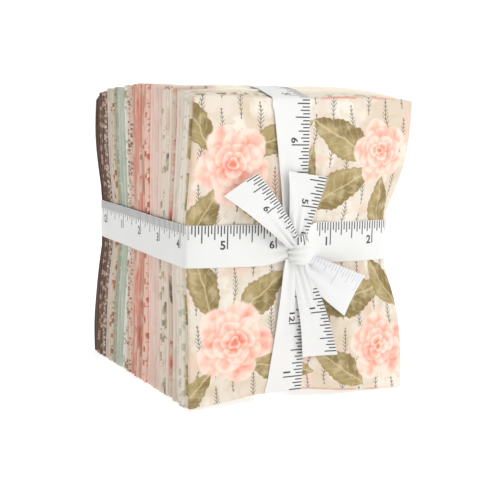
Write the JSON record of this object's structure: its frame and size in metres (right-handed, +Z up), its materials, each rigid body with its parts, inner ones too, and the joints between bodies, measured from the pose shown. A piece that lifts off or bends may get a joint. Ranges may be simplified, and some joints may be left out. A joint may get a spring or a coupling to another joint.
{
  "type": "stack of fat quarters",
  "caption": "Stack of folded cotton fat quarters standing on edge, tied both ways at the waist with a printed measuring tape.",
  "frame": {"origin": "middle of the stack's footprint, on the surface it stands on", "axes": "+Z up along the folded quarters' longer side, -Y out of the front quarter's face, -X towards the round outer folds"},
  "size_m": [0.1148, 0.1352, 0.1466],
  "materials": {
    "quarter_01_cream_floral": "matt plain-weave cotton",
    "quarter_02_cream_mint": "matt plain-weave cotton",
    "quarter_03_stone_cream": "matt plain-weave cotton",
    "quarter_04_cream_coral_sprig": "matt plain-weave cotton",
    "quarter_05_cream_olive_sprig": "matt plain-weave cotton",
    "quarter_06_ivory": "matt plain-weave cotton",
    "quarter_07_blush": "matt plain-weave cotton",
    "quarter_08_pink": "matt plain-weave cotton",
    "quarter_09_pink_coral_print": "matt plain-weave cotton",
    "quarter_10_pinkish_cream": "matt plain-weave cotton",
    "quarter_11_coral": "matt plain-weave cotton",
    "quarter_12_peach": "matt plain-weave cotton",
    "quarter_13_red_speckle": "matt plain-weave cotton",
    "quarter_14_grey_cream": "matt plain-weave cotton",
    "quarter_15_sage": "matt plain-weave cotton",
    "quarter_16_grey_green": "matt plain-weave cotton",
    "quarter_17_olive_cream": "matt plain-weave cotton",
    "quarter_18_taupe": "matt plain-weave cotton",
    "quarter_19_brown_cream_print": "matt plain-weave cotton",
    "quarter_20_brown_pink_print": "matt plain-weave cotton",
    "quarter_21_dark_brown": "matt plain-weave cotton",
    "tape_white": "white woven tape, slightly shiny, printed with inch marks",
    "tape_reverse": "unprinted back of the white tape"
  },
  "bodies": {
    "root": {"quarter_01_cream_floral": "quarter_01_cream_floral", "quarter_02_cream_mint": "quarter_02_cream_mint", "quarter_03_stone_cream": "quarter_03_stone_cream", "quarter_04_cream_coral_sprig": "quarter_04_cream_coral_sprig", "quarter_05_cream_olive_sprig": "quarter_05_cream_olive_sprig", "quarter_06_ivory": "quarter_06_ivory", "quarter_07_blush": "quarter_07_blush", "quarter_08_pink": "quarter_08_pink", "quarter_09_pink_coral_print": "quarter_09_pink_coral_print", "quarter_10_pinkish_cream": "quarter_10_pinkish_cream", "quarter_11_coral": "quarter_11_coral", "quarter_12_peach": "quarter_12_peach", "quarter_13_red_speckle": "quarter_13_red_speckle", "quarter_14_grey_cream": "quarter_14_grey_cream", "quarter_15_sage": "quarter_15_sage", "quarter_16_grey_green": "quarter_16_grey_green", "quarter_17_olive_cream": "quarter_17_olive_cream", "quarter_18_taupe": "quarter_18_taupe", "quarter_19_brown_cream_print": "quarter_19_brown_cream_print", "quarter_20_brown_pink_print": "quarter_20_brown_pink_print", "quarter_21_dark_brown": "quarter_21_dark_brown", "tape_across": "tape_white", "tape_upright": "tape_white", "tape_knot": "tape_white", "tape_end_upper_left": "tape_white", "tape_end_upper_right": "tape_white", "tape_end_lower": "tape_white", "tape_end_reverse": "tape_reverse"}
  },
  "joints": []
}
